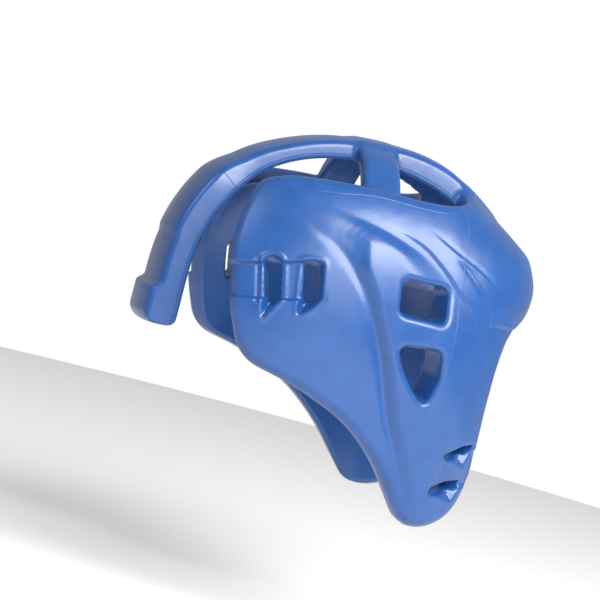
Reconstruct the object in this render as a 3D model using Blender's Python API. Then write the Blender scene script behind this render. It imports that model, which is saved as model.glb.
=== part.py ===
"""Moulded foam sparring headgear, modelled as the one-piece shell that it is.

The inside of the shell is a head form. Every feature is laid out on that form by two coordinates
and then built outward along the form's normal:
  around - degrees from the middle of the forehead, 180 at the back of the head
  drop   - metres below the crown, where the top of the head touches the shell
The crown strip and tail pad use their own pair: metres across, and degrees along the middle of
the head, 0 at the back, 90 at the crown and 180 at the forehead.
Metres, +Z up, the face looks to -Y, and the origin is the inside of the crown.
"""
import math

import bmesh
import bpy
import numpy as np

# Head form, the inside of the shell
HEAD_HALF_WIDTH = 0.077
HEAD_FRONT = 0.098
HEAD_BACK = 0.104
CROWN_RISE = 0.100          # crown above the widest level of the head
CHEEK_TAPER = 0.012         # how much each side draws in at the cheeks
CHEEK_TAPER_DROP = 0.206    # drop at which the cheeks have drawn in by that much
CHEEK_TAPER_POWER = 1.6
ROUNDNESS_FRONT = 2.7       # 2 is an ellipse, more is squarer
ROUNDNESS_BACK = 2.3
ROUNDNESS_TOP = 2.3

# Edges of the shell, as drops below the crown
BROW_DROP = 0.078           # lower edge of the forehead pad
FLAP_DROP = 0.206           # tips of the cheek flaps
PANEL_DROP = 0.132          # rear lower corner of a side panel
RIM_DROP = 0.0245           # upper rim of a side panel
REAR_AROUND = 136.0         # rear edge of a side panel at its lower corner
REAR_LEAN = 12.5            # how much further back the rear edge is at its upper corner
REAR_BOW = 2.5              # how far the rear edge bows back between its corners
REAR_BOW_POWER = 4          # how sharply that bow dies out towards the front
REAR_RIM_DROP = 1.3 * RIM_DROP      # rim at the rear edge's upper corner

# Foam thicknesses
SIDE_PAD = 0.018
BROW_PAD = 0.0245
FLAP_PAD = 0.015
EAR_RISE = 0.005
STRIP_PAD = 0.012
TAIL_PAD = 0.019
TAIL_CHANNEL = 0.003        # depth of the strap channel across the tail pad
BAR_PAD = 0.0115

# Where one thickness goes over into the next
FOREHEAD_BLEND = (24.0, 56.0)       # around, forehead pad into side panel
FACE_BLEND = (30.0, 56.0)           # around, face edge of a flap into the rest of it
BROW_BLEND = (0.96, 1.12)           # share of the brow drop, forehead pad into cheek flap
DOME_REAR_BLEND = 13.0              # degrees over which the ear dome rises from its rear edge
DOME_FRONT_BLEND = 20.0             # and from its front edge
DOME_TOP_BLEND = (0.19, 0.27)       # share of the flap's drop, top of the ear dome
DOME_FADE = 0.6                     # share of its rise that the ear dome loses down the flap
CHANNEL_LOWER_STEP = (-3.5, 0.0)    # along, the two steps of the tail's strap channel
CHANNEL_UPPER_STEP = (13.5, 17.0)
TAIL_PAD_BLEND = (34.0, 45.0)       # along, tail pad into crown strip
TAIL_WIDTH_BLEND = (30.0, 48.0)
PAD_ENTRY = (110.0, 120.0)          # along, where the strip sinks into the forehead pad

# Moulded edge radii
OUTER_EDGE = 0.007          # forehead pad, side panels and cheek flaps
STRIP_EDGE = 0.005          # crown strip, tail pad and cross bars
INNER_EDGE = 0.0025

# Crown strip, tail pad and cross bars
STRIP_HALF_WIDTH = 0.0245
TAIL_HALF_WIDTH = 0.029
TAIL_END_DROP = 0.126
STRIP_FRONT_ALONG = 132.0   # where the strip ends, inside the forehead pad
STRIP_SINK = 0.003          # how far its outer face lies inside the pad's outer face there
BAR_FRONT = -0.006          # front and rear edges of a cross bar, along Y
BAR_REAR = 0.017
BAR_LIFT = 0.0015           # cross bars, and the strip's front end, clear of the head form
BAR_INNER_END = 0.5 * STRIP_HALF_WIDTH      # ends of a cross bar, across from the middle
BAR_OUTER_END = 0.805 * HEAD_HALF_WIDTH

# Cuts
CUT_CORNER = 0.004
CUT_CORNER_SHARE = 0.42     # most of a short side that one rounded corner takes
CUT_OVERSHOOT = 0.008       # how far a cutter runs past both faces
STRAP_RECESS_DEPTH = 0.003
WINDOW_FLARE = 0.0045       # how much a window widens from the inside to the outside
SLOT_FLARE = 0.0015

# Rows of both edge tables pair up: row by row they are the two ends of one section of the band.
# Front edge: around in degrees, share of the way from the brow edge down to the flap tip.
FRONT_EDGE = (
    (0.0, 0.000), (12.0, 0.000), (22.0, 0.010), (28.5, 0.045), (32.0, 0.170), (32.3, 0.370),
    (30.5, 0.565), (29.5, 0.720), (31.0, 0.855), (35.0, 0.945), (42.0, 0.995))
# Lower edge: around in degrees, share of the way from the flap tip up to the rear corner.
LOWER_EDGE = (
    (49.0, 0.02), (54.0, 0.12), (60.0, 0.25), (67.0, 0.40), (75.0, 0.535), (84.0, 0.66),
    (94.0, 0.76), (105.0, 0.845), (116.0, 0.92), (125.0, 0.965), (131.0, 1.0))
# Upper rim: around in degrees, share of the rim's drop.
UPPER_RIM = (
    (0.0, 0.31), (16.0, 0.33), (30.0, 0.40), (38.0, 0.52), (43.0, 0.64), (48.0, 0.75),
    (53.0, 0.86), (57.0, 0.93), (61.0, 0.97), (66.0, 0.99), (70.0, 1.0),
    (74.0, 1.0), (78.0, 1.0), (82.0, 1.0), (87.0, 1.0), (92.0, 1.0), (98.0, 1.0),
    (105.0, 1.01), (113.0, 1.03), (122.0, 1.07), (132.0, 1.13), (140.5, 1.22))
# Forehead pad: share of the brow edge's drop, share of the brow pad's thickness.
BROW_SECTION = (
    (0.00, 0.48), (0.10, 0.51), (0.19, 0.57), (0.26, 0.61), (0.35, 0.68), (0.47, 0.85),
    (0.60, 1.00), (0.70, 1.00), (0.80, 0.98), (0.90, 0.93), (1.00, 0.80), (1.20, 0.62))
# Ear dome: share of the flap tip's drop, around at its rear edge, around at its front edge.
EAR_DOME = (
    (0.20, 118.0, 108.0), (0.24, 124.0, 78.0), (0.28, 113.0, 65.0), (0.34, 101.0, 56.0),
    (0.39, 96.0, 50.0), (0.44, 91.0, 46.0), (0.54, 83.0, 40.0), (0.69, 73.0, 32.0),
    (0.80, 63.0, 26.0), (0.95, 52.0, 24.0))
# Crown strip: degrees along, share of the strip's thickness (tail rows: of the tail pad's).
STRIP_SECTION = ((48.0, 1.02), (58.0, 0.92), (67.0, 0.92), (80.0, 0.99), (90.0, 1.06),
                 (98.0, 1.00), (106.0, 0.98), (116.0, 1.12), (132.0, 1.30))
# Cuts through both side panels: around and drop of each corner, the drop as a share of its level.
WINDOW_LEVEL = 0.0755
UPPER_WINDOW = ((80.5, 0.90), (62.0, 0.885), (62.0, 1.10), (79.5, 1.10))
LOWER_WINDOW = ((75.5, 1.355), (60.5, 1.33), (58.8, 1.50), (60.5, 1.71), (66.0, 1.62), (71.8, 1.49))
STRAP_LEVEL = 0.084
REAR_STRAP_SLOT = ((133.7, 0.885), (128.8, 0.87), (125.6, 1.12), (129.6, 1.145))
FRONT_STRAP_SLOT = ((121.1, 0.84), (115.9, 0.825), (112.8, 1.05), (117.0, 1.10))
# Strap recess: around, and its upper and lower edges, open at the rear edge of the panel.
STRAP_RECESS = ((111.0, 0.83, 1.05), (115.0, 0.805, 1.065), (122.0, 0.845, 1.09),
                (129.0, 0.89, 1.12), (136.0, 0.925, 1.15), (143.0, 0.96, 1.18), (150.0, 1.0, 1.21))
CHIN_LEVEL = 0.168
UPPER_CHIN_SLOT = ((46.0, 0.95), (40.0, 0.905), (33.5, 0.895), (34.0, 0.93), (38.5, 0.945), (44.5, 0.97))
LOWER_CHIN_SLOT = ((45.5, 1.085), (40.5, 1.042), (33.5, 1.03), (34.0, 1.065), (38.5, 1.08), (44.0, 1.105))

# Mesh steps
BAND_STEPS = 34             # sections of the band on each side
BAND_ROWS = 13              # steps across each face of the band
STRIP_STEPS = 40
STRIP_ROWS = 4
BAR_ROWS = 3
BAR_STEPS = 8
EDGE_STEPS = 3
CORNER_STEPS = 3
LENGTH_STEPS = 12           # chords that measure the length of a section
STRIP_STEP_POWER = 1.15     # sections of the strip lie closer together at the tail
HALVINGS = 40               # halvings that find the form under a point of the strip
BAR_TRIES = 12              # steps that find the form under a point of a cross bar
SLOPE_STEP = 1e-5
WELD_GAP = 1e-6
MOST_RISE = 0.9999          # keeps points of the form off its very top
SMOOTH_ANGLE = 40.0

FOAM_BLUE = (0.035, 0.170, 0.560, 1.0)
FOAM_ROUGHNESS = 0.35


def smoothstep(low, high, value):
    """0 below low, 1 above high, smooth between."""
    share = np.clip((np.asarray(value, float) - low) / (high - low), 0.0, 1.0)
    return share * share * (3.0 - 2.0 * share)


def column(table, index):
    return np.array([row[index] for row in table], float)


def through(rows, share):
    """Point at a share of the way along a smooth curve through rows of numbers."""
    rows = np.asarray(rows, float)
    place = np.clip(share, 0.0, 1.0) * (len(rows) - 1)
    first = min(int(place), len(rows) - 2)
    t = place - first
    before = rows[max(first - 1, 0)]
    start, end = rows[first], rows[first + 1]
    after = rows[min(first + 2, len(rows) - 1)]
    return 0.5 * (2 * start + (end - before) * t
                  + (2 * before - 5 * start + 4 * end - after) * t * t
                  + (3 * start - before - 3 * end + after) * t ** 3)


def half_width(drop):
    """Half width of the head form at a drop: it draws in below the widest level."""
    below = np.clip((drop - CROWN_RISE) / (CHEEK_TAPER_DROP - CROWN_RISE), 0.0, None)
    return HEAD_HALF_WIDTH - CHEEK_TAPER * below ** CHEEK_TAPER_POWER


def form_value(point):
    """1 on the head form, more outside it."""
    x, y, z = point
    front = y < 0
    depth = HEAD_FRONT if front else HEAD_BACK
    power = ROUNDNESS_FRONT if front else ROUNDNESS_BACK
    level = ((abs(x) / half_width(-z)) ** power + (abs(y) / depth) ** power) ** (ROUNDNESS_TOP / power)
    rise = max(z + CROWN_RISE, 0.0) / CROWN_RISE
    return (level + rise ** ROUNDNESS_TOP) ** (1.0 / ROUNDNESS_TOP)


def form_normal(point):
    """Outward normal of the head form, from small differences."""
    slope = np.array([form_value(point + SLOPE_STEP * axis) - form_value(point - SLOPE_STEP * axis)
                      for axis in np.eye(3)])
    return slope / np.linalg.norm(slope)


def lift(point, height):
    """A point of the head form moved out along its normal."""
    return point + form_normal(point) * height


def on_form(around, drop):
    """Point of the head form at an angle around and a drop."""
    angle = math.radians(around)
    across, ahead = abs(math.sin(angle)), abs(math.cos(angle))
    front = abs(around) < 90.0
    depth = HEAD_FRONT if front else HEAD_BACK
    power = ROUNDNESS_FRONT if front else ROUNDNESS_BACK
    rise = max(CROWN_RISE - drop, 0.0) / CROWN_RISE
    girth = (1.0 - min(rise, MOST_RISE) ** ROUNDNESS_TOP) ** (1.0 / ROUNDNESS_TOP)
    unit = ((across / half_width(drop)) ** power + (ahead / depth) ** power) ** (1.0 / power)
    reach = girth / unit
    return np.array((reach * math.sin(angle), -reach * math.cos(angle), -drop))


def on_strip(across, along):
    """Point of the head form at a distance across and an angle along the middle of the head."""
    angle = math.radians(along)
    centre = np.array((across, 0.0, -CROWN_RISE))
    ray = np.array((0.0, math.cos(angle), math.sin(angle)))
    near, far = 0.0, 2.0 * HEAD_BACK
    for _ in range(HALVINGS):
        middle = 0.5 * (near + far)
        if form_value(centre + ray * middle) < 1.0:
            near = middle
        else:
            far = middle
    return centre + ray * near


def pad_thickness(around, drop):
    """Foam thickness of the forehead pad, side panels and cheek flaps."""
    around = abs(around)
    share = drop / BROW_DROP
    brow = BROW_PAD * np.interp(share, column(BROW_SECTION, 0), column(BROW_SECTION, 1))
    below_brow = smoothstep(*BROW_BLEND, share)
    at_front = (1.0 - smoothstep(*FOREHEAD_BLEND, around)) * (1.0 - below_brow)
    at_face = (1.0 - smoothstep(*FACE_BLEND, around)) * below_brow
    dome_share = drop / FLAP_DROP
    rear = np.interp(dome_share, column(EAR_DOME, 0), column(EAR_DOME, 1))
    front = np.interp(dome_share, column(EAR_DOME, 0), column(EAR_DOME, 2))
    dome = smoothstep(0.0, DOME_REAR_BLEND, rear - around) * smoothstep(0.0, DOME_FRONT_BLEND, around - front)
    dome = dome * smoothstep(*DOME_TOP_BLEND, dome_share)
    down_flap = smoothstep(BROW_DROP, FLAP_DROP, drop)
    side = SIDE_PAD + (FLAP_PAD - SIDE_PAD) * max(down_flap, at_face)
    side += EAR_RISE * dome * (1.0 - DOME_FADE * down_flap)
    return float(side + (brow - side) * at_front)


def strip_thickness(along):
    """Foam thickness of the tail pad and crown strip."""
    raised = smoothstep(*CHANNEL_UPPER_STEP, along) + 1.0 - smoothstep(*CHANNEL_LOWER_STEP, along)
    tail = TAIL_PAD - TAIL_CHANNEL * (1.0 - raised)
    strip = STRIP_PAD * np.interp(along, column(STRIP_SECTION, 0), column(STRIP_SECTION, 1))
    return float(tail + (strip - tail) * smoothstep(*TAIL_PAD_BLEND, along))


def strip_half_width(along):
    in_strip = smoothstep(*TAIL_WIDTH_BLEND, along)
    return float(TAIL_HALF_WIDTH + (STRIP_HALF_WIDTH - TAIL_HALF_WIDTH) * in_strip)


def rounded(distance, radius):
    """How far a rounded edge falls away at a distance in from the edge."""
    inside = min(max(distance, 0.0), radius)
    return radius - math.sqrt(max(radius ** 2 - (radius - inside) ** 2, 0.0))


def section_steps(length, outer_radius, rows):
    """Steps round one section: (share across, distance in from its edge, 1 outside or 0 inside)."""
    def face(radius):
        quarter = [radius * (1.0 - math.cos(math.radians(90.0 * k / EDGE_STEPS)))
                   for k in range(EDGE_STEPS)]
        inner = [radius + (length - 2.0 * radius) * k / rows for k in range(rows + 1)]
        return quarter + inner + [length - d for d in reversed(quarter)]
    outer = [(d / length, min(d, length - d), 1) for d in face(outer_radius)]
    inner = [(d / length, min(d, length - d), 0) for d in face(INNER_EDGE)]
    return outer + inner[::-1]


def loft(name, sections):
    """Closed body through sections with the same even count of points, capped like a ladder."""
    mesh = bpy.data.meshes.new(name)
    work = bmesh.new()
    rings = [[work.verts.new(point) for point in section] for section in sections]
    count = len(rings[0])
    for ring, following in zip(rings, rings[1:]):
        for k in range(count):
            near, far = k, (k + 1) % count
            work.faces.new((ring[near], ring[far], following[far], following[near]))
    for ring in (rings[0], rings[-1]):
        for k in range(count // 2 - 1):
            work.faces.new((ring[k], ring[k + 1], ring[count - 2 - k], ring[count - 1 - k]))
    bmesh.ops.remove_doubles(work, verts=work.verts, dist=WELD_GAP)
    bmesh.ops.recalc_face_normals(work, faces=work.faces)
    if work.calc_volume(signed=True) < 0.0:
        bmesh.ops.reverse_faces(work, faces=work.faces)
    work.to_mesh(mesh)
    work.free()
    body = bpy.data.objects.new(name, mesh)
    bpy.context.scene.collection.objects.link(body)
    return body


def band_edges():
    """Lower and upper edge of the band, row by row, as (around, drop) from the middle to the back."""
    lower = [(around, BROW_DROP + share * (FLAP_DROP - BROW_DROP)) for around, share in FRONT_EDGE]
    lower += [(around, FLAP_DROP - share * (FLAP_DROP - PANEL_DROP)) for around, share in LOWER_EDGE]
    lower.append((REAR_AROUND, PANEL_DROP - OUTER_EDGE))
    upper = [(around, share * RIM_DROP) for around, share in UPPER_RIM]
    upper.append((REAR_AROUND + REAR_LEAN, REAR_RIM_DROP + 0.5 * OUTER_EDGE))
    return lower, upper


def build_band():
    """Forehead pad, both side panels and cheek flaps: one band, lofted from rear edge to rear edge."""
    lower, upper = band_edges()

    def section(share):
        side = 1.0 if share > 0.0 else -1.0
        low = through(lower, abs(share))
        top = through(upper, abs(share))
        bow = REAR_BOW * abs(share) ** REAR_BOW_POWER

        def place(v):
            around = low[0] + (top[0] - low[0]) * v + bow * math.sin(math.pi * v)
            return around, low[1] + (top[1] - low[1]) * v

        spots = [on_form(*place(v)) for v in np.linspace(0.0, 1.0, LENGTH_STEPS + 1)]
        length = sum(np.linalg.norm(b - a) for a, b in zip(spots, spots[1:]))
        to_rear = np.linalg.norm(on_form(*through(lower, 1.0)) - on_form(*low))
        to_rear = max(to_rear, np.linalg.norm(on_form(*through(upper, 1.0)) - on_form(*top)))
        points = []
        for v, inset, outside in section_steps(length, OUTER_EDGE, BAND_ROWS):
            around, drop = place(v)
            if outside:
                height = pad_thickness(around, drop)
                height -= max(rounded(inset, OUTER_EDGE), rounded(to_rear, OUTER_EDGE))
            else:
                height = max(rounded(inset, INNER_EDGE), rounded(to_rear, INNER_EDGE))
            points.append(lift(on_form(side * around, drop), height))
        return points

    shares = [k / BAND_STEPS for k in range(-BAND_STEPS, BAND_STEPS + 1)]
    return loft("foam_shell", [section(share) for share in shares])


def build_strip():
    """Crown strip with the tail pad at its rear end, lofted along the middle of the head."""
    tail_end = -math.degrees(math.atan2(TAIL_END_DROP - CROWN_RISE, HEAD_BACK))

    def section(share):
        along = tail_end + (STRIP_FRONT_ALONG - tail_end) * share
        half = strip_half_width(along)
        in_pad = float(smoothstep(*PAD_ENTRY, along))
        to_end = math.radians(along - tail_end) * HEAD_BACK
        points = []
        for v, inset, outside in section_steps(2.0 * half, STRIP_EDGE, STRIP_ROWS):
            if outside:
                height = strip_thickness(along) - STRIP_SINK * in_pad
                height -= max(rounded(inset, STRIP_EDGE), rounded(to_end, STRIP_EDGE))
            else:
                height = max(rounded(inset, INNER_EDGE), rounded(to_end, INNER_EDGE))
                height += BAR_LIFT * in_pad
            points.append(lift(on_strip(half * (1.0 - 2.0 * v), along), height))
        return points

    shares = [(k / STRIP_STEPS) ** STRIP_STEP_POWER for k in range(STRIP_STEPS + 1)]
    return loft("crown_strip", [section(share) for share in shares])


def build_cross_bar(side):
    """Cross bar from the crown strip to the upper rim of one side panel."""
    def section(across):
        points = []
        width = BAR_REAR - BAR_FRONT
        for v, inset, outside in section_steps(width, STRIP_EDGE, BAR_ROWS):
            y = BAR_FRONT + width * v
            along = 90.0
            for _ in range(BAR_TRIES):
                spot = on_strip(side * across, along)
                along -= math.degrees((y - spot[1]) / CROWN_RISE)
            edge = rounded(inset, STRIP_EDGE if outside else INNER_EDGE)
            height = BAR_PAD - edge if outside else BAR_LIFT + edge
            points.append(lift(spot, height))
        return points

    reach = np.linspace(BAR_INNER_END, BAR_OUTER_END, BAR_STEPS + 1)
    return loft("cross_bar_" + ("right" if side < 0 else "left"), [section(r) for r in reach])


def rounded_outline(corners, level):
    """Corners given as (around, share of a level), rounded, as points (around, drop)."""
    corners = [np.array((around, share * level)) for around, share in corners]
    points = []
    for k, corner in enumerate(corners):
        spot = on_form(*corner)
        ends = []
        for other in (corners[k - 1], corners[(k + 1) % len(corners)]):
            run = np.linalg.norm(on_form(*other) - spot)
            ends.append(corner + (other - corner) * min(CUT_CORNER / run, CUT_CORNER_SHARE))
        for step in range(CORNER_STEPS + 1):
            t = step / CORNER_STEPS
            points.append((1 - t) ** 2 * ends[0] + 2 * t * (1 - t) * corner + t * t * ends[1])
    return points


def build_cut(name, corners, level, side, flare):
    """Cutter through a side panel along the form's normal, wider towards the outside."""
    outline = rounded_outline(corners, level)
    middle = sum(outline) / len(outline)
    sections = []
    for height in (-CUT_OVERSHOOT, 0.0, SIDE_PAD + EAR_RISE, SIDE_PAD + EAR_RISE + CUT_OVERSHOOT):
        grow = flare * max(height, 0.0) / (SIDE_PAD + EAR_RISE)
        ring = []
        for spot in outline:
            away = spot - middle
            run = np.linalg.norm(on_form(*spot) - on_form(*middle))
            around, drop = middle + away * (1.0 + grow / run)
            ring.append(lift(on_form(side * around, drop), height))
        sections.append(ring)
    return loft(name, sections)


def build_recess(name, side):
    """Cutter for the shallow strap recess, which follows the form round to the rear edge."""
    floor = SIDE_PAD - STRAP_RECESS_DEPTH
    sections = []
    for around, upper, lower in STRAP_RECESS:
        ring = [lift(on_form(side * around, share * STRAP_LEVEL), height)
                for share, height in ((upper, floor), (lower, floor), (lower, SIDE_PAD + CUT_OVERSHOOT),
                                      (upper, SIDE_PAD + CUT_OVERSHOOT))]
        sections.append(ring)
    return loft(name, sections)


def combine(body, name, operation, others):
    """Add or cut the other bodies with one exact Boolean over their collection."""
    group = bpy.data.collections.new(name)
    bpy.context.scene.collection.children.link(group)
    for other in others:
        bpy.context.scene.collection.objects.unlink(other)
        group.objects.link(other)
        other.hide_render = True
        other.display_type = "WIRE"
    step = body.modifiers.new(name, "BOOLEAN")
    step.operation = operation
    step.operand_type = "COLLECTION"
    step.collection = group
    step.solver = "EXACT"


def foam_material():
    material = bpy.data.materials.new("blue_dipped_foam")
    material.use_nodes = True
    shader = material.node_tree.nodes["Principled BSDF"]
    shader.inputs["Base Color"].default_value = FOAM_BLUE
    shader.inputs["Roughness"].default_value = FOAM_ROUGHNESS
    shader.inputs["Metallic"].default_value = 0.0
    return material


def build_headgear():
    for old in list(bpy.data.objects):
        bpy.data.objects.remove(old, do_unlink=True)
    shell = build_band()
    joined = [build_strip()]
    cuts = []
    windows = (("upper_window", UPPER_WINDOW), ("lower_window", LOWER_WINDOW))
    strap_slots = (("rear_strap_slot", REAR_STRAP_SLOT), ("front_strap_slot", FRONT_STRAP_SLOT))
    chin_slots = (("upper_chin_slot", UPPER_CHIN_SLOT), ("lower_chin_slot", LOWER_CHIN_SLOT))
    for side, word in ((-1, "right"), (1, "left")):
        joined.append(build_cross_bar(side))
        for name, corners in windows:
            cuts.append(build_cut(name + "_" + word, corners, WINDOW_LEVEL, side, WINDOW_FLARE))
        for name, corners in strap_slots:
            cuts.append(build_cut(name + "_" + word, corners, STRAP_LEVEL, side, SLOT_FLARE))
        for name, corners in chin_slots:
            cuts.append(build_cut(name + "_" + word, corners, CHIN_LEVEL, side, SLOT_FLARE))
        cuts.append(build_recess("strap_recess_" + word, side))
    combine(shell, "moulded_together", "UNION", joined)
    combine(shell, "cut_through", "DIFFERENCE", cuts)
    shell.data.shade_smooth()
    shell.data.set_sharp_from_angle(angle=math.radians(SMOOTH_ANGLE))
    shell.data.materials.append(foam_material())


build_headgear()
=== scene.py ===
import math

import bmesh
import bpy
import numpy as np
from mathutils import Matrix, Vector


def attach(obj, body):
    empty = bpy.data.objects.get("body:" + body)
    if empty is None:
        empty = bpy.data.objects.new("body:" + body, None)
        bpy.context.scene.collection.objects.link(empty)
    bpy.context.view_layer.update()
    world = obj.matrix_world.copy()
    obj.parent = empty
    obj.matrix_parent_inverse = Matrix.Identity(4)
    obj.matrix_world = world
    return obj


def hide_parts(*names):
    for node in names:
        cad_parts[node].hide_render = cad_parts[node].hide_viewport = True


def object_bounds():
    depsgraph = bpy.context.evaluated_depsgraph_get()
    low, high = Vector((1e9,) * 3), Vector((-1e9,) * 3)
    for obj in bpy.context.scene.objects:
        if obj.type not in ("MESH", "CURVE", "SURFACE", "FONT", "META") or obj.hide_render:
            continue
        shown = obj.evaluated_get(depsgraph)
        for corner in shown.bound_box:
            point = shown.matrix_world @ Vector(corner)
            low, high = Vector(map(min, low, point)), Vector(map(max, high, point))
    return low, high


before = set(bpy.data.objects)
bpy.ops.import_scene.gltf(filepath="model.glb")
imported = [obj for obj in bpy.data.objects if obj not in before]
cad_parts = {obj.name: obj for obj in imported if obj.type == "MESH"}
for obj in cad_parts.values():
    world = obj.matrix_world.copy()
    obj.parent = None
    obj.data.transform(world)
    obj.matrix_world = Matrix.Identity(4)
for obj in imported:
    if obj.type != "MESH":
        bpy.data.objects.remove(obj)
cad_box = [list(corner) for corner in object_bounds()]

# Hollow of the shell, the smooth form that the foam is moulded over. Every feature is laid out on it by two
# measures, degrees around from the middle of the forehead and metres of drop below the crown, and stands out
# from it along its normal. Both halves of the shell are the same, so only one is worked out.
HEAD_HALF_WIDTH = 0.077
HEAD_FRONT = 0.098
HEAD_BACK = 0.104
CROWN_RISE = 0.100
CHEEK_TAPER = 0.012
CHEEK_TAPER_DROP = 0.206
CHEEK_TAPER_POWER = 1.6
ROUNDNESS_FRONT = 2.7
ROUNDNESS_BACK = 2.3
ROUNDNESS_TOP = 2.3


def half_width(drop):
    """Half width of the hollow at a drop, and how fast it shrinks with the drop."""
    reach = CHEEK_TAPER_DROP - CROWN_RISE
    below = np.clip((drop - CROWN_RISE) / reach, 1e-9, None)
    shrink = CHEEK_TAPER * CHEEK_TAPER_POWER * below ** (CHEEK_TAPER_POWER - 1) / reach
    return HEAD_HALF_WIDTH - CHEEK_TAPER * below ** CHEEK_TAPER_POWER, shrink


def form(points):
    """Value of the form, 1 on it and more outside, and its slope, at points with x above 0."""
    x, y, z = points.T
    wide, shrink = half_width(-z)
    front = y < 0
    deep = np.where(front, HEAD_FRONT, HEAD_BACK)
    power = np.where(front, ROUNDNESS_FRONT, ROUNDNESS_BACK)
    across, ahead = np.maximum(x, 1e-9) / wide, np.maximum(np.abs(y), 1e-9) / deep
    across_slope, ahead_slope = across ** (power - 1), ahead ** (power - 1)
    girth = across_slope * across + ahead_slope * ahead
    girth_slope = girth ** (ROUNDNESS_TOP / power - 1)
    rise = np.maximum(z + CROWN_RISE, 0.0) / CROWN_RISE
    rise_slope = rise ** (ROUNDNESS_TOP - 1)
    total = girth * girth_slope + rise * rise_slope
    value = total ** (1 / ROUNDNESS_TOP)
    scale = value / total
    slope = np.stack((girth_slope * across_slope / wide,
                      np.sign(y) * girth_slope * ahead_slope / deep,
                      rise_slope / CROWN_RISE - girth_slope * across_slope * across / wide * shrink), 1)
    return value, slope * scale[:, None]


def foot_on_form(points):
    """Nearest point of the form to each point, and the height above it."""
    foot = points
    for _ in range(4):
        value, slope = form(foot)
        steep = np.linalg.norm(slope, axis=1, keepdims=True)
        normal = slope / steep
        foot = foot - normal * ((value[:, None] - 1) / steep)
        height = ((points - foot) * normal).sum(1)
        foot = points - normal * height[:, None]
    return foot, height


def on_form(around, drop):
    """Points of the form at angles around and drops."""
    angle = np.radians(around)
    front = np.cos(angle) > 0
    deep = np.where(front, HEAD_FRONT, HEAD_BACK)
    power = np.where(front, ROUNDNESS_FRONT, ROUNDNESS_BACK)
    rise = np.clip((CROWN_RISE - drop) / CROWN_RISE, 0.0, 0.9999)
    girth = (1.0 - rise ** ROUNDNESS_TOP) ** (1.0 / ROUNDNESS_TOP)
    wide = half_width(drop)[0]
    unit = (np.abs(np.sin(angle)) / wide) ** power + (np.abs(np.cos(angle)) / deep) ** power
    reach = girth / unit ** (1.0 / power)
    return np.stack((reach * np.sin(angle), -reach * np.cos(angle), -drop + 0.0 * reach), -1)


def smoothstep(low, high, value):
    """0 at low, 1 at high, smooth between; low may be above high."""
    share = np.clip((value - low) / (high - low), 0.0, 1.0)
    return share * share * (3.0 - 2.0 * share)


def through(rows, steps=8):
    """Smooth curve through rows of numbers, with that many steps from row to row."""
    rows = np.asarray(rows, float)
    padded = np.vstack((2 * rows[0] - rows[1], rows, 2 * rows[-1] - rows[-2]))
    share = np.arange(steps)[:, None] / steps
    parts = []
    for before, start, end, after in zip(padded, padded[1:], padded[2:], padded[3:]):
        parts.append(0.5 * (2 * start + (end - before) * share
                            + (2 * before - 5 * start + 4 * end - after) * share ** 2
                            + (3 * start - before - 3 * end + after) * share ** 3))
    return np.vstack(parts + [rows[-1:]])


def lookup(table, index, value):
    """Smooth reading of one column of a table at values of its first column."""
    dense = through(table)
    return np.interp(value, dense[:, 0], dense[:, index])


# Forehead pad, side panels and cheek flaps: one band of closed-cell foam that runs round the hollow from the
# rear edge of one panel to that of the other. Moulded in one piece with thick soft edges.
BROW_DROP = 0.078
FLAP_DROP = 0.206
PANEL_DROP = 0.132
RIM_DROP = 0.0245
REAR_AROUND = 136.0
REAR_LEAN = 12.5
REAR_BOW = 2.5
BAND_EDGE = 0.007
PAST_MIDDLE = -5.0          # the outline runs on past the middle of the forehead, so that it closes off the chart
CHART_AROUND = np.linspace(0.0, 180.0, 271)
CHART_DROP = np.linspace(0.0, 0.228, 305)
FRONT_EDGE = (      # around, share of the way from the brow edge down to the flap tip
    (0.0, 0.000), (12.0, 0.000), (22.0, 0.010), (28.5, 0.045), (32.0, 0.170), (31.3, 0.370),
    (28.8, 0.565), (27.5, 0.720), (29.0, 0.855), (33.5, 0.945), (41.0, 0.995))
LOWER_EDGE = (      # around, share of the way from the flap tip up to the rear corner
    (49.0, 0.02), (54.0, 0.12), (60.0, 0.25), (67.0, 0.40), (75.0, 0.535), (84.0, 0.66),
    (94.0, 0.76), (105.0, 0.845), (116.0, 0.92), (125.0, 0.965), (131.0, 1.0))
UPPER_RIM = (       # around, share of the rim's drop
    (0.0, 0.31), (16.0, 0.34), (30.0, 0.46), (38.0, 0.66), (43.0, 0.78), (48.0, 0.87),
    (53.0, 0.93), (57.0, 0.96), (61.0, 0.98), (66.0, 0.99), (74.0, 1.0), (98.0, 1.0),
    (105.0, 1.01), (113.0, 1.03), (122.0, 1.07), (132.0, 1.13), (140.5, 1.22))

around_chart, drop_chart = np.meshgrid(CHART_AROUND, CHART_DROP, indexing="ij")
spot_chart = on_form(around_chart, drop_chart)


def soften(line, window, closed=False):
    """A line of (around, drop) points with its corners rounded off over a window in metres."""
    step = 0.0008
    if closed:
        line = np.vstack((line, line[:1]))
    run = np.linalg.norm(np.diff(on_form(*line.T), axis=0), axis=1)
    far = np.concatenate(([0.0], np.cumsum(run)))
    places = np.linspace(0.0, far[-1], int(far[-1] / step) + 2)
    around, drop = (np.interp(places, far, column) for column in line.T)
    count = max(int(window / step), 1)
    if closed:
        around, drop = (np.pad(c[:-1], count, mode="wrap") for c in (around, drop))
    else:
        around = np.pad(around, count, mode="reflect", reflect_type="odd")
        drop = np.pad(drop, count, mode="reflect")
    for _ in range(2):
        around, drop = (np.convolve(c, np.ones(count) / count, "same") for c in (around, drop))
    soft = np.column_stack((around, drop))[count:-count]
    return np.vstack((soft, soft[:1])) if closed else soft


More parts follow.
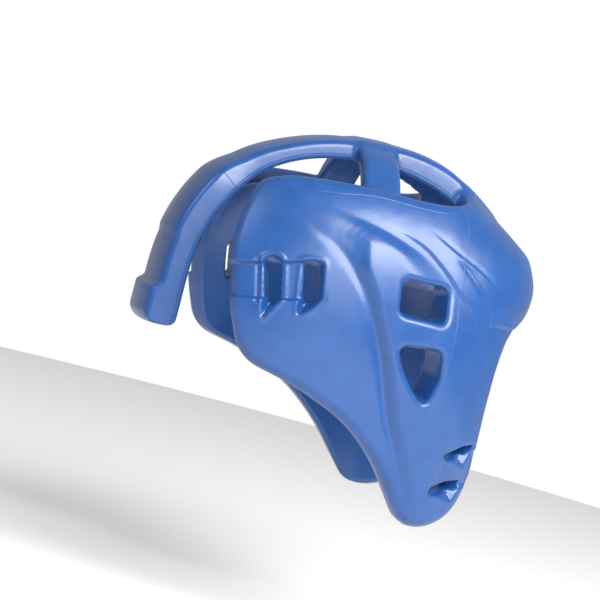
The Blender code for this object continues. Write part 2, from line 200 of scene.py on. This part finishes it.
def from_line(line):
    """Chart of the distance in metres to a line, positive to its right, and of the share along it."""
    ends = on_form(*line.T)
    gap, side, share = (np.full(around_chart.shape, fill) for fill in (9.0, 1.0, 0.0))
    for k, (start, end) in enumerate(zip(ends, ends[1:])):
        run = end - start
        place = np.clip((spot_chart - start) @ run / (run @ run), 0.0, 1.0)
        away = spot_chart - start - place[..., None] * run
        near = np.einsum("ijk,ijk->ij", away, away)
        closer = near < gap
        turn = ((line[k + 1, 0] - line[k, 0]) * (drop_chart - line[k, 1])
                - (line[k + 1, 1] - line[k, 1]) * (around_chart - line[k, 0]))
        gap, side = np.where(closer, near, gap), np.where(closer, np.sign(turn), side)
        share = np.where(closer, (k + place) / (len(ends) - 1), share)
    return np.sqrt(gap) * side, share


def inside(line):
    """Chart that is true inside an outline."""
    hit = np.zeros(around_chart.shape, bool)
    for (a0, d0), (a1, d1) in zip(line, np.roll(line, -1, axis=0)):
        if d0 != d1:
            crosses = (drop_chart >= d0) != (drop_chart >= d1)
            hit ^= crosses & (around_chart < a0 + (drop_chart - d0) / (d1 - d0) * (a1 - a0))
    return hit


def outline_inset(line):
    """Chart of the distance in from an outline, negative outside it."""
    gap = np.abs(from_line(line)[0])
    return np.where(inside(line), gap, -gap)


rear_corner = (REAR_AROUND, PANEL_DROP - BAND_EDGE)
rear_top = (REAR_AROUND + REAR_LEAN, RIM_DROP * 1.3 + 0.5 * BAND_EDGE)
lower_line = through([(around, BROW_DROP + share * (FLAP_DROP - BROW_DROP)) for around, share in FRONT_EDGE]
                     + [(around, FLAP_DROP - share * (FLAP_DROP - PANEL_DROP)) for around, share in LOWER_EDGE]
                     + [rear_corner])
upper_line = through([(around, share * RIM_DROP) for around, share in UPPER_RIM] + [rear_top])
rear_share = np.linspace(0.0, 1.0, 12)[1:-1, None]
rear_line = np.array(rear_corner) + (np.array(rear_top) - rear_corner) * rear_share
rear_line[:, 0] += REAR_BOW * np.sin(math.pi * rear_share[:, 0])
band_line = soften(np.vstack((lower_line, rear_line, upper_line[::-1])), 0.008)
band_line = np.vstack(((PAST_MIDDLE, band_line[0, 1]), band_line, (PAST_MIDDLE, band_line[-1, 1])))
band_inset = outline_inset(band_line)

# Thickness of the band: a heavy forehead pad that thins to the rim above it, flatter side panels, and cheek
# flaps that thin towards their tips. It is the depth of the mould's cavity over the hollow.
SIDE_PAD = 0.018
BROW_PAD = 0.0245
FLAP_PAD = 0.015
BROW_SECTION = (    # share of the brow edge's drop, share of the brow pad's thickness
    (0.00, 0.46), (0.10, 0.48), (0.19, 0.52), (0.26, 0.55), (0.35, 0.61), (0.47, 0.79),
    (0.57, 0.97), (0.65, 1.00), (0.76, 0.99), (0.87, 0.87), (1.00, 0.68), (1.20, 0.58), (3.0, 0.58))

brow_share = drop_chart / BROW_DROP
above_brow = 1.0 - smoothstep(0.96, 1.12, brow_share)
at_front = (1.0 - smoothstep(24.0, 56.0, around_chart)) * above_brow
at_face = (1.0 - smoothstep(30.0, 56.0, around_chart)) * (1.0 - above_brow)
down_flap = smoothstep(BROW_DROP, FLAP_DROP, drop_chart)
side_pad = SIDE_PAD + (FLAP_PAD - SIDE_PAD) * np.maximum(down_flap, at_face)

# Ear dome: the bulge of each side panel over the ear, with a sharp valley behind it and softer creases that
# fan out from its top towards the cheek. They are shapes of the mould, pressed into the same skin.
EAR_RISE = 0.004
CREASES = {         # around, drop
    "rear": ((128, 0.0475), (122, 0.053), (113, 0.058), (106, 0.0645), (101, 0.071), (96, 0.079),
             (91, 0.0905), (83, 0.110), (73, 0.1415), (63, 0.165), (52, 0.194)),
    "upper": ((106, 0.041), (88, 0.0435), (74, 0.048), (65, 0.056), (57, 0.067), (51, 0.0765), (44, 0.097)),
    "ridge": ((72, 0.039), (57, 0.049), (50, 0.054), (45, 0.060), (42, 0.067), (38, 0.079)),
    "cheek": ((60, 0.0475), (52, 0.059), (46, 0.071), (42, 0.091))}
CREASE_SHAPE = {    # depth of the line itself, its half width, share along where it starts and ends fading
    "rear": (0.0012, 0.0026, 0.42, 0.80),
    "cheek": (0.0005, 0.0014, 0.20, 0.80)}
DOME_EDGE = 0.008           # width of the slope up from the "rear" line, and how much wider it is at its top
DOME_SOFT_TOP = 0.030
OVERLAP = 0.0014            # the skin drops this much below the "upper" line, then swells back over OVERLAP_FADE
OVERLAP_WALL = 0.0016
OVERLAP_FADE = 0.022
FOLD_HEIGHT = 0.0007        # the thin fold beside the "ridge" line stands up on one side and dips on the other
FOLD_WIDTH = 0.0015
DOME_FRONT = (      # share of the flap tip's drop, around at the dome's front edge
    (0.20, 108.0), (0.24, 78.0), (0.28, 65.0), (0.34, 56.0), (0.39, 50.0), (0.44, 46.0),
    (0.54, 40.0), (0.69, 32.0), (0.80, 26.0), (0.95, 24.0), (1.2, 24.0))

beyond, crease_share = {}, {}
for name, rows in CREASES.items():
    beyond[name], crease_share[name] = from_line(through(rows, 4))
crease_depth = np.zeros(around_chart.shape)
for name, (depth, width, fade_in, fade_out) in CREASE_SHAPE.items():
    strength = smoothstep(0.0, fade_in, crease_share[name]) * smoothstep(1.0, fade_out, crease_share[name])
    crease_depth += depth * strength * np.exp(-(beyond[name] / width) ** 2)
across_fold = beyond["ridge"] / FOLD_WIDTH
fold = smoothstep(0.0, 0.15, crease_share["ridge"]) * smoothstep(1.0, 0.7, crease_share["ridge"])
crease_depth += FOLD_HEIGHT * fold * across_fold * np.exp(-across_fold ** 2)
dome_share = drop_chart / FLAP_DROP
dome_edge = DOME_EDGE + DOME_SOFT_TOP * smoothstep(0.42, 0.05, crease_share["rear"])
dome_rear = smoothstep(0.0, dome_edge, beyond["rear"])
dome_front = smoothstep(0.0, 20.0, around_chart - lookup(DOME_FRONT, 1, dome_share))
below_upper = -beyond["upper"]
upper_fade = smoothstep(0.10, 0.40, crease_share["upper"]) * smoothstep(1.0, 0.65, crease_share["upper"])
crease_depth += (OVERLAP * upper_fade * smoothstep(-OVERLAP_WALL / 2, OVERLAP_WALL / 2, below_upper)
                 * np.exp(-np.maximum(below_upper, 0.0) / OVERLAP_FADE))
dome = dome_rear * dome_front * smoothstep(0.19, 0.27, dome_share)
side_pad = side_pad + EAR_RISE * dome * (1.0 - 0.6 * down_flap)
brow_pad = BROW_PAD * lookup(BROW_SECTION, 1, brow_share)
band_pad = side_pad + (brow_pad - side_pad) * at_front - crease_depth

# Ear windows: two openings through each ear dome, moulded with a flared wall and a soft outer rim.
# They keep the ears uncovered so that the wearer can hear.
WINDOW_LEVEL = 0.0755
WINDOWS = (         # around, share of the window level
    ((79.8, 0.905), (62.6, 0.89), (62.6, 1.095), (78.8, 1.095)),
    ((75.0, 1.36), (61.2, 1.335), (59.6, 1.50), (61.0, 1.70), (66.0, 1.61), (71.4, 1.485)))
WINDOW_FLARE = 0.0024
WINDOW_RIM = 0.0030


def cut_inset(corners, level, window):
    """Chart of the distance outside the outline of a cut through the band."""
    line = np.array([(around, share * level) for around, share in corners])
    return -outline_inset(soften(line, window, closed=True))


cuts = [(cut_inset(corners, WINDOW_LEVEL, 0.004), WINDOW_FLARE, WINDOW_RIM) for corners in WINDOWS]

# Rear strap recess: a shallow step in the panel's rear edge where an elastic would lie, with two slots, each in
# its own pocket that runs out to a point below, and a narrow groove where the strap folds over.
STRAP_LEVEL = 0.084
STRAP_SLOTS = (
    ((133.7, 0.885), (128.8, 0.87), (125.6, 1.12), (129.6, 1.145)),
    ((121.1, 0.84), (115.9, 0.825), (112.8, 1.05), (117.0, 1.10)))
STRAP_RECESS = (
    (115.4, 0.835), (117.0, 0.82), (122.0, 0.845), (136.0, 0.925), (143.0, 0.96), (160.0, 1.045),
    (160.0, 1.26), (143.0, 1.18), (136.0, 1.15), (129.0, 1.12), (122.0, 1.09), (115.5, 1.06), (113.0, 1.03))
SLOT_POCKETS = (
    ((134.2, 0.875), (131.0, 0.84), (128.0, 0.862), (124.6, 1.09), (129.5, 1.26)),
    ((121.8, 0.828), (114.4, 0.810), (111.4, 1.035), (113.6, 1.105), (118.6, 1.185)))
STRAP_GROOVE = ((135.6, 0.905), (132.2, 1.155))
RECESS_DEPTH = 0.003
POCKET_DEPTH = 0.0065
GROOVE_DEPTH = 0.001
POCKET_LIP = 0.0006
SLOT_FLARE = 0.0005
SLOT_RIM = 0.0012

recess_edge = cut_inset(STRAP_RECESS, STRAP_LEVEL, 0.0015)
sunk = RECESS_DEPTH * smoothstep(0.001, -0.001, recess_edge)
lips = np.zeros(around_chart.shape)
for corners in SLOT_POCKETS:
    pocket = cut_inset(corners, STRAP_LEVEL, 0.0042)
    sunk = np.maximum(sunk, POCKET_DEPTH * smoothstep(0.0003, -0.0032, pocket))
    lips = np.maximum(lips, POCKET_LIP * np.exp(-((pocket - 0.0011) / 0.0009) ** 2))
band_pad = band_pad - sunk + lips
groove_line = np.array([(around, share * STRAP_LEVEL) for around, share in STRAP_GROOVE])
band_pad = band_pad - GROOVE_DEPTH * np.exp(-(from_line(groove_line)[0] / 0.0011) ** 2)
cuts += [(cut_inset(corners, STRAP_LEVEL, 0.005), SLOT_FLARE, SLOT_RIM) for corners in STRAP_SLOTS]

# Chin-strap slots: two short slots near the front of each cheek flap with a bar between them that the strap
# loops round. The bar and the lips of the slots are a little sunk.
CHIN_LEVEL = 0.168
CHIN_SLOTS = (
    ((46.0, 0.937), (40.0, 0.900), (33.8, 0.893), (34.0, 0.93), (38.5, 0.942), (44.0, 0.955)),
    ((45.5, 1.070), (40.5, 1.037), (33.8, 1.03), (34.0, 1.062), (38.5, 1.075), (44.0, 1.09)))
CHIN_POCKETS = (
    ((41.0, 0.915), (33.8, 0.893), (33.0, 0.93), (34.8, 0.978), (38.5, 0.966), (42.5, 0.955)),
    ((41.5, 1.045), (33.8, 1.03), (33.0, 1.06), (34.8, 1.108), (38.5, 1.097), (42.5, 1.087)))
CHIN_POCKET_DEPTH = 0.005
CHIN_BAR = ((45.5, 0.965), (40.0, 0.925), (30.0, 0.915), (30.0, 1.045), (40.0, 1.055), (45.5, 1.09))
CHIN_BAR_DEPTH = 0.0015

band_pad = band_pad - CHIN_BAR_DEPTH * smoothstep(0.001, -0.001, cut_inset(CHIN_BAR, CHIN_LEVEL, 0.002))
for corners in CHIN_POCKETS:
    band_pad = band_pad - CHIN_POCKET_DEPTH * smoothstep(0.0005, -0.004, cut_inset(corners, CHIN_LEVEL, 0.002))
cuts += [(cut_inset(corners, CHIN_LEVEL, 0.002), SLOT_FLARE, SLOT_RIM) for corners in CHIN_SLOTS]

# Crown strip: a padded strap of the same foam over the top of the head, from the forehead pad to the back,
# where it ends in the thick tail pad. The tail has a shallow channel across it for the elastic.
STRIP_PAD = 0.012
STRIP_HALF_WIDTH = 0.0265
STRIP_EDGE = 0.0026
STRIP_DRAFT = 0.36
STRIP_FRONT_ALONG = 132.0
STRIP_FRONT_FLARE = 0.0075
TAIL_PAD = 0.0195
TAIL_HALF_WIDTH = 0.0305
TAIL_END_EDGE = 0.007
TAIL_CHANNEL = 0.0042
TAIL_NECK = 0.0028
TAIL_END_DROP = 0.129
STRIP_SECTION = (   # degrees along, share of the strip's thickness
    (40.0, 1.10), (48.0, 1.02), (58.0, 0.92), (67.0, 0.92), (80.0, 0.99), (88.0, 1.06),
    (98.0, 1.14), (106.0, 1.20), (114.0, 1.20), (124.0, 1.08), (132.0, 1.05), (140.0, 1.05))

tail_end = -math.degrees(math.atan2(TAIL_END_DROP - CROWN_RISE, HEAD_BACK))


def strip_shape(along):
    """Thickness and half width of the strip at degrees along it."""
    tail = (TAIL_PAD - TAIL_CHANNEL * smoothstep(-4.5, -1.5, along)
            + (TAIL_CHANNEL - TAIL_NECK) * smoothstep(12.5, 15.5, along))
    strip = STRIP_PAD * lookup(STRIP_SECTION, 1, along)
    pad = tail + (strip - tail) * smoothstep(34.0, 45.0, along)
    half = TAIL_HALF_WIDTH + (STRIP_HALF_WIDTH - TAIL_HALF_WIDTH) * smoothstep(30.0, 48.0, along)
    return pad, half + STRIP_FRONT_FLARE * smoothstep(92.0, 122.0, along)


# Cross bars: one on each side, from the crown strip down to the rim of the side panel, with a vent in front of
# it. Flat on top, and blended into both by the mould's fillets.
BAR_FRONT = -0.006
BAR_REAR = 0.017
BAR_PAD = 0.0115
BAR_EDGE = 0.004
BAR_OUTER_END = 0.062
FILLET = 0.005

# One skin: the features are joined into one body, hollow inside, and cut by the windows and slots. The mesh is
# drawn on a fine lattice, pulled onto the exact surface and thinned where it is flat.
INNER_EDGE = 0.0025
STRIP_INNER_EDGE = 0.0038
LATTICE = 0.0016


def read(chart, around, drop):
    """Chart values between its points."""
    column = np.clip(around / CHART_AROUND[1], 0.0, len(CHART_AROUND) - 1.001)
    row = np.clip(drop / CHART_DROP[1], 0.0, len(CHART_DROP) - 1.001)
    i, j = column.astype(int), row.astype(int)
    u, v = column - i, row - j
    return ((chart[i, j] * (1 - v) + chart[i, j + 1] * v) * (1 - u)
            + (chart[i + 1, j] * (1 - v) + chart[i + 1, j + 1] * v) * u)


def rounded_corner(beyond_side, beyond_face, radius):
    """Distance outside a block whose side and face meet in a rounded edge."""
    side, face = beyond_side + radius, beyond_face + radius
    return (np.minimum(np.maximum(side, face), 0.0)
            + np.hypot(np.maximum(side, 0.0), np.maximum(face, 0.0)) - radius)


def joined(one, other, fillet):
    """Distance outside two bodies that meet in a fillet."""
    blend = np.clip(0.5 + 0.5 * (other - one) / fillet, 0.0, 1.0)
    return other + (one - other) * blend - fillet * blend * (1.0 - blend)


def shell(points):
    """Distance outside the shell, negative inside the foam."""
    foot, height = foot_on_form(np.column_stack((np.abs(points[:, 0]), points[:, 1:])))
    around = np.degrees(np.arctan2(np.abs(foot[:, 0]), -foot[:, 1]))
    drop = -foot[:, 2]
    top = read(band_pad, around, drop)
    band = rounded_corner(-read(band_inset, around, drop), height - top, BAND_EDGE)
    for outside, flare, rim in cuts:
        wall = flare * np.clip(height / top, 0.0, 1.0) - read(outside, around, drop)
        band = np.maximum(band, rounded_corner(wall, height - top, rim))
    along = np.degrees(np.arctan2(foot[:, 2] + CROWN_RISE, foot[:, 1]))
    along = np.where(along < -90.0, along + 360.0, along)
    pad, half = strip_shape(along)
    to_end = np.radians(along - tail_end) * HEAD_BACK
    to_front = np.radians(STRIP_FRONT_ALONG - along) * HEAD_FRONT
    beside = half - STRIP_DRAFT * height - np.abs(foot[:, 0])
    strip = rounded_corner(-np.minimum(beside, to_front), height - pad, STRIP_EDGE)
    end = rounded_corner(-to_end, np.abs(height - pad / 2) - pad / 2, TAIL_END_EDGE)
    strip = np.maximum(strip, end)
    bar_side = np.maximum(np.maximum(BAR_FRONT - foot[:, 1], foot[:, 1] - BAR_REAR), foot[:, 0] - BAR_OUTER_END)
    bar = rounded_corner(bar_side, height - BAR_PAD, BAR_EDGE)
    over_crown = joined(bar, strip, FILLET)
    inner_edge = INNER_EDGE + (STRIP_INNER_EDGE - INNER_EDGE) * smoothstep(-0.002, 0.002, band - over_crown)
    return rounded_corner(joined(band, over_crown, FILLET), -height, inner_edge)


def slope_of(points, step=0.0005):
    """Slope of the distance at points."""
    parts = [shell(points + step * axis) - shell(points - step * axis) for axis in np.eye(3)]
    return np.stack(parts, 1) / (2 * step)


def lattice_mesh(low, high, step):
    """Vertices and quads of the shell's surface on a lattice, worked out for one half and mirrored."""
    counts = [int(round((high[k] - low[k]) / step)) + 1 for k in range(3)]
    half_count = (counts[0] + 1) // 2
    axes = [low[k] + step * np.arange(counts[k]) for k in range(3)]
    half = np.stack(np.meshgrid(axes[0][:half_count], axes[1], axes[2], indexing="ij"), -1).reshape(-1, 3)
    value, slope = form(np.column_stack((np.abs(half[:, 0]), half[:, 1:])))
    height = (value - 1) / np.linalg.norm(slope, axis=1)
    near = (height > -0.006) & (height < 0.040)
    field = np.ones(len(half))
    field[near] = shell(half[near])
    field = field.reshape(half_count, counts[1], counts[2])
    field = np.concatenate((field, field[:counts[0] - half_count][::-1]))
    solid = field < 0
    cells = [n - 1 for n in counts]
    total, hits = np.zeros((np.prod(cells), 3)), np.zeros(np.prod(cells))
    quads = []
    for axis in range(3):
        one, two = [slice(None)] * 3, [slice(None)] * 3
        one[axis], two[axis] = slice(0, -1), slice(1, None)
        cross = np.argwhere(solid[tuple(one)] != solid[tuple(two)])
        ahead = cross + np.eye(3, dtype=int)[axis]
        start, end = field[tuple(cross.T)], field[tuple(ahead.T)]
        spot = cross.astype(float)
        spot[:, axis] += start / (start - end)
        others = [k for k in range(3) if k != axis]
        corners = []
        for a, b in ((0, 0), (1, 0), (1, 1), (0, 1)):
            cell = cross.copy()
            cell[:, others[0]] -= a
            cell[:, others[1]] -= b
            corners.append(np.ravel_multi_index(cell.T, cells))
            for k in range(3):
                total[:, k] += np.bincount(corners[-1], spot[:, k], len(total))
            hits += np.bincount(corners[-1], minlength=len(total))
        ring = np.stack(corners, 1)
        flip = (start < 0) != (axis == 1)
        ring[flip] = ring[flip][:, ::-1]
        quads.append(ring)
    used = hits > 0
    number = np.cumsum(used) - 1
    vertices = np.array(low) + step * total[used] / hits[used, None]
    return vertices, number[np.vstack(quads)]


low, high = (np.array(corner) for corner in cad_box)
margin = 0.004
reach = math.ceil((max(-low[0], high[0]) + margin) / LATTICE) * LATTICE
lattice_low = (-reach, low[1] - margin, low[2] - margin)
lattice_high = (reach, high[1] + margin, high[2] + margin)
vertices, quads = lattice_mesh(lattice_low, lattice_high, LATTICE)
mesh = bpy.data.meshes.new("foam_shell_skin")
mesh.from_pydata(vertices.tolist(), [], quads[:, ::-1].tolist())

detail_chart = np.minimum.reduce([np.abs(outside) - 0.004 for outside, _, _ in cuts]
                                 + [np.abs(beyond[name]) - 0.004 for name in ("rear", "upper", "ridge")]
                                 + [np.where(recess_edge < 0.004, -1.0, 1.0)])
work = bmesh.new()
work.from_mesh(mesh)
work.faces.ensure_lookup_table()
middles = np.array([face.calc_center_median() for face in work.faces])
foot, height = foot_on_form(np.column_stack((np.abs(middles[:, 0]), middles[:, 1:])))
foot_around = np.degrees(np.arctan2(np.abs(foot[:, 0]), -foot[:, 1]))
fine = (height > 0.004) & (read(detail_chart, foot_around, -foot[:, 2]) < 0.0)
edges = {edge for k in np.flatnonzero(fine) for edge in work.faces[k].edges}
bmesh.ops.subdivide_edges(work, edges=list(edges), cuts=1, use_grid_fill=True)
work.to_mesh(mesh)
work.free()
vertices = np.empty(3 * len(mesh.vertices))
mesh.vertices.foreach_get("co", vertices)
vertices = vertices.reshape(-1, 3)
for _ in range(3):
    slope = slope_of(vertices)
    pull = shell(vertices)[:, None] * slope / np.maximum((slope ** 2).sum(1, keepdims=True), 0.2)
    vertices = vertices - np.clip(pull, -LATTICE / 2, LATTICE / 2)
mesh.vertices.foreach_set("co", vertices.ravel())
mesh.update()
headgear = bpy.data.objects.new("headgear_shell", mesh)
bpy.context.scene.collection.objects.link(headgear)

TRIANGLE_LIMIT = 190000
corners = len(mesh.loops) - 2 * len(mesh.polygons)
if corners > TRIANGLE_LIMIT:
    thin = headgear.modifiers.new("thin", "DECIMATE")
    thin.ratio = TRIANGLE_LIMIT / corners
    graph = bpy.context.evaluated_depsgraph_get()
    thinned = bpy.data.meshes.new_from_object(headgear.evaluated_get(graph))
    headgear.modifiers.clear()
    headgear.data = mesh = thinned
vertices = np.empty(3 * len(mesh.vertices))
mesh.vertices.foreach_get("co", vertices)
vertices = vertices.reshape(-1, 3)
normals = slope_of(vertices)
normals /= np.linalg.norm(normals, axis=1, keepdims=True)
mesh.polygons.foreach_set("use_smooth", [True] * len(mesh.polygons))
mesh.normals_split_custom_set_from_vertices(normals.tolist())
mesh.update()

# Parting lines: the halves of the mould meet along the edges, up the front of each side panel and along its
# upper rim, and leave a hair line. The skin carries its distance from each, which the finish draws as a bump,
# with painted shade along the sunk lines and a painted highlight along the raised one.
SIDE_PARTING = ((52, 0.010), (52, 0.032), (56, 0.053), (57, 0.083), (57, 0.1115), (56, 0.128), (49, 0.174),
                (46, 0.196), (44, 0.215))
RIM_PARTING = ((165, 0.055), (146, 0.043), (136, 0.038), (115, 0.0335), (98, 0.0306), (66, 0.0305),
               (50, 0.0265), (36, 0.020), (20, 0.016), (0, 0.015))
EDGE_PARTING = 0.0045
STRIP_PARTING_ALONG = 36.5

foot, height = foot_on_form(np.column_stack((np.abs(vertices[:, 0]), vertices[:, 1:])))
foot_around = np.degrees(np.arctan2(np.abs(foot[:, 0]), -foot[:, 1]))
for name, line in (("side_parting", SIDE_PARTING), ("rim_parting", RIM_PARTING)):
    away = read(from_line(through(line, 4))[0], foot_around, -foot[:, 2])
    away = np.where((height > 0.006) & ((foot[:, 0] > 0.035) | (foot[:, 1] < 0.0)), away, 1.0)
    mesh.attributes.new(name, "FLOAT", "POINT").data.foreach_set("value", away)
along = np.degrees(np.arctan2(foot[:, 2] + CROWN_RISE, foot[:, 1]))
across = np.where(foot[:, 0] < 0.035, np.radians(along - STRIP_PARTING_ALONG) * HEAD_BACK, 1.0)
mesh.attributes.new("strip_parting", "FLOAT", "POINT").data.foreach_set("value", across)
mesh.attributes.new("edge_parting", "FLOAT", "POINT").data.foreach_set("value", height - EDGE_PARTING)


# Finish: the foam is dipped in blue vinyl, which cures to a smooth skin with a soft gloss. It shows fine
# parting lines of the mould, with painted shade along the sunk ones and a painted highlight along the raised
# one, a faint pebble, and rubbed, paler patches from use.
class Wire:
    """A socket of a material. Operators on it add Math nodes, and make() adds any other node."""

    def __init__(self, tree, socket=None):
        self.tree, self.socket = tree, socket

    def make(self, kind, settings=(), inputs=(), output=0):
        """Output of a new node, whose settings are set before its sockets."""
        node = self.tree.nodes.new(kind)
        for name, value in dict(settings).items():
            if name == "stops":
                ramp = node.color_ramp.elements
                while len(ramp) < len(value):
                    ramp.new(0.5)
                for element, (place, colour) in zip(ramp, value):
                    element.position, element.color = place, colour
            else:
                setattr(node, name, value)
        for name, value in dict(inputs).items():
            if isinstance(value, Wire):
                self.tree.links.new(value.socket, node.inputs[name])
            else:
                node.inputs[name].default_value = value
        return Wire(self.tree, node.outputs[output])

    def maths(self, operation, *terms):
        return self.make("ShaderNodeMath", {"operation": operation}, enumerate(terms))

    def __add__(self, other):
        return self.maths("ADD", self, other)

    def __sub__(self, other):
        return self.maths("SUBTRACT", self, other)

    def __rsub__(self, other):
        return self.maths("SUBTRACT", other, self)

    def __mul__(self, other):
        return self.maths("MULTIPLY", self, other)

    __radd__, __rmul__ = __add__, __mul__

    def between(self, low, high):
        """0 at low, 1 at high, smooth between."""
        return self.make("ShaderNodeMapRange", {"interpolation_type": "SMOOTHSTEP"},
                         {"Value": self, "From Min": low, "From Max": high})

    def blend(self, start, end):
        """A colour from start to end by this value."""
        return self.make("ShaderNodeMix", {"data_type": "RGBA"},
                         {"Factor": self, 6: start, 7: end}, output=2)


VINYL_BLUE = (0.009, 0.068, 0.250, 1.0)
VINYL_DEEP = (0.008, 0.059, 0.220, 1.0)
# Paler colour of rubbed patches, also used as a painted highlight along the raised parting line.
VINYL_RUBBED_AND_HIGHLIGHT = (0.055, 0.125, 0.310, 1.0)
# Painted shade, laid along the sunk parting lines.
VINYL_SHADE = (0.006, 0.040, 0.180, 1.0)
VINYL_ROUGHNESS = 0.29
LINE_HALF_WIDTH = 0.00035

vinyl = bpy.data.materials.new("dipped_blue_vinyl")
vinyl.use_nodes = True
tree = vinyl.node_tree
shader = tree.nodes["Principled BSDF"]
start = Wire(tree)
place = start.make("ShaderNodeTexCoord", output=3)


def noise(scale, detail=2.0, roughness=0.5):
    return start.make("ShaderNodeTexNoise", {}, {"Vector": place, "Scale": scale, "Detail": detail,
                                                 "Roughness": roughness})


def hair_line(name):
    """1 on a parting line of the skin, 0 beside it."""
    away = start.make("ShaderNodeAttribute", {"attribute_name": name}, output=2)
    return 1.0 - away.maths("ABSOLUTE", away).between(0.0, LINE_HALF_WIDTH)


cloud, mottle, pebble = noise(22.0, 3.0), noise(90.0, 4.0), noise(1100.0, 3.0)
scuff = noise(38.0, 8.0, 0.65).between(0.60, 0.72) * cloud.between(0.45, 0.6)
raised_line_and_highlight = hair_line("side_parting")
sunk_line_and_shade = hair_line("rim_parting") * 0.5 + hair_line("edge_parting") + hair_line("strip_parting")
base = mottle.between(0.3, 0.7).blend(VINYL_DEEP, VINYL_BLUE)
base = (scuff * 0.35).blend(base, VINYL_RUBBED_AND_HIGHLIGHT)
# Painted shade: the sunk parting lines are darkened as though shadowed in their grooves.
base = (sunk_line_and_shade * 0.6).blend(base, VINYL_SHADE)
# Painted highlight: the raised parting line is lightened as though catching the light along its crest.
base = (raised_line_and_highlight * 0.5).blend(base, VINYL_RUBBED_AND_HIGHLIGHT)
tree.links.new(base.socket, shader.inputs["Base Color"])
rough = VINYL_ROUGHNESS + 0.10 * cloud.between(0.35, 0.65) + 0.10 * scuff
tree.links.new(rough.socket, shader.inputs["Roughness"])
relief = 0.000012 * pebble + 0.00020 * mottle + 0.0008 * cloud + 0.00020 * raised_line_and_highlight - 0.00025 * sunk_line_and_shade
bump = start.make("ShaderNodeBump", {}, {"Height": relief, "Strength": 1.0, "Distance": 1.0})
tree.links.new(bump.socket, shader.inputs["Normal"])
shader.inputs["Coat Weight"].default_value = 0.25
shader.inputs["Coat Roughness"].default_value = 0.20
mesh.materials.clear()
mesh.materials.append(vinyl)

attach(headgear, "root")
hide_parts("foam_shell")

# Camera: level with the shell, behind its right side, tilted as the photograph is.
AIM = Vector((0.0, 0.0, -0.1022))
AZIMUTH, ELEVATION, ROLL = math.radians(256.0), math.radians(3.0), math.radians(15.0)
DISTANCE, METRES_PER_PIXEL = 1.3, 0.000625

back = Vector((math.sin(AZIMUTH) * math.cos(ELEVATION), -math.cos(AZIMUTH) * math.cos(ELEVATION),
               math.sin(ELEVATION)))
level = Vector((math.cos(AZIMUTH), math.sin(AZIMUTH), 0.0))
above = back.cross(level)
right = math.cos(ROLL) * level + math.sin(ROLL) * above
up = back.cross(right)
lens = bpy.data.cameras.new("photo_view")
lens.sensor_width = 36.0
lens.lens = 36.0 * DISTANCE / METRES_PER_PIXEL / 600
lens.clip_start, lens.clip_end = 0.05, 30.0
camera = bpy.data.objects.new("photo_view", lens)
camera_place = AIM + back * DISTANCE + (-30 * right + 20 * up) * METRES_PER_PIXEL
camera.matrix_world = Matrix.Translation(camera_place) @ Matrix((right, up, back)).transposed().to_4x4()
bpy.context.scene.collection.objects.link(camera)
bpy.context.scene.camera = camera

# Studio: a plain pale floor in a white surround, a wide soft light above the camera, a weak one beside it and
# a small one behind the shell.
FLOOR_LEVEL = -0.30
FLOOR_REACH = 1.2
FLOOR_SIDES = 96
LIGHTS = {          # direction from the shell, distance, width, height, power
    "key": ((-0.75, -0.29, 0.58), 1.5, 1.3, 0.75, 42.0),
    "side_fill": ((-0.97, 0.06, 0.20), 1.5, 0.75, 0.6, 5.0),
    "rear": ((-0.30, 0.80, 0.50), 1.6, 0.5, 0.7, 4.0)}
SURROUND_SEEN = 1.0
SURROUND_MIRRORED = 0.5
SURROUND_LIGHT = 0.18

floor_mesh = bpy.data.meshes.new("studio_floor")
turns = [2 * math.pi * k / FLOOR_SIDES for k in range(FLOOR_SIDES)]
floor_mesh.from_pydata([(FLOOR_REACH * math.cos(t), FLOOR_REACH * math.sin(t), FLOOR_LEVEL) for t in turns],
                       [], [tuple(range(FLOOR_SIDES))])
floor = bpy.data.objects.new("studio_floor", floor_mesh)
bpy.context.scene.collection.objects.link(floor)
pale = bpy.data.materials.new("pale_floor")
pale.use_nodes = True
pale_shader = pale.node_tree.nodes["Principled BSDF"]
pale_shader.inputs["Base Color"].default_value = (0.92, 0.92, 0.92, 1.0)
pale_shader.inputs["Roughness"].default_value = 0.9
pale_shader.inputs["Emission Color"].default_value = (1.0, 1.0, 1.0, 1.0)
pale_shader.inputs["Emission Strength"].default_value = 0.22
floor_mesh.materials.append(pale)

world = bpy.data.worlds.new("studio")
world.use_nodes = True
bpy.context.scene.world = world
surround = Wire(world.node_tree)
white = (1.0, 1.0, 1.0, 1.0)
direct = surround.make("ShaderNodeLightPath", output="Is Camera Ray")
diffuse = surround.make("ShaderNodeLightPath", output="Is Diffuse Ray")
strength = (SURROUND_MIRRORED + (SURROUND_SEEN - SURROUND_MIRRORED) * direct
            - (SURROUND_MIRRORED - SURROUND_LIGHT) * diffuse)
white_light = surround.make("ShaderNodeBackground", {}, {"Color": white, "Strength": strength})
world.node_tree.links.new(white_light.socket, world.node_tree.nodes["World Output"].inputs["Surface"])

for name, (direction, distance, width, height, power) in LIGHTS.items():
    light = bpy.data.lights.new(name, "AREA")
    light.shape, light.size, light.size_y, light.energy = "RECTANGLE", width, height, power
    lamp = bpy.data.objects.new(name, light)
    away = Vector(direction).normalized()
    lamp.location = AIM + away * distance
    lamp.rotation_euler = away.to_track_quat("Z", "Y").to_euler()
    bpy.context.scene.collection.objects.link(lamp)
bpy.context.scene.view_settings.view_transform = "Standard"
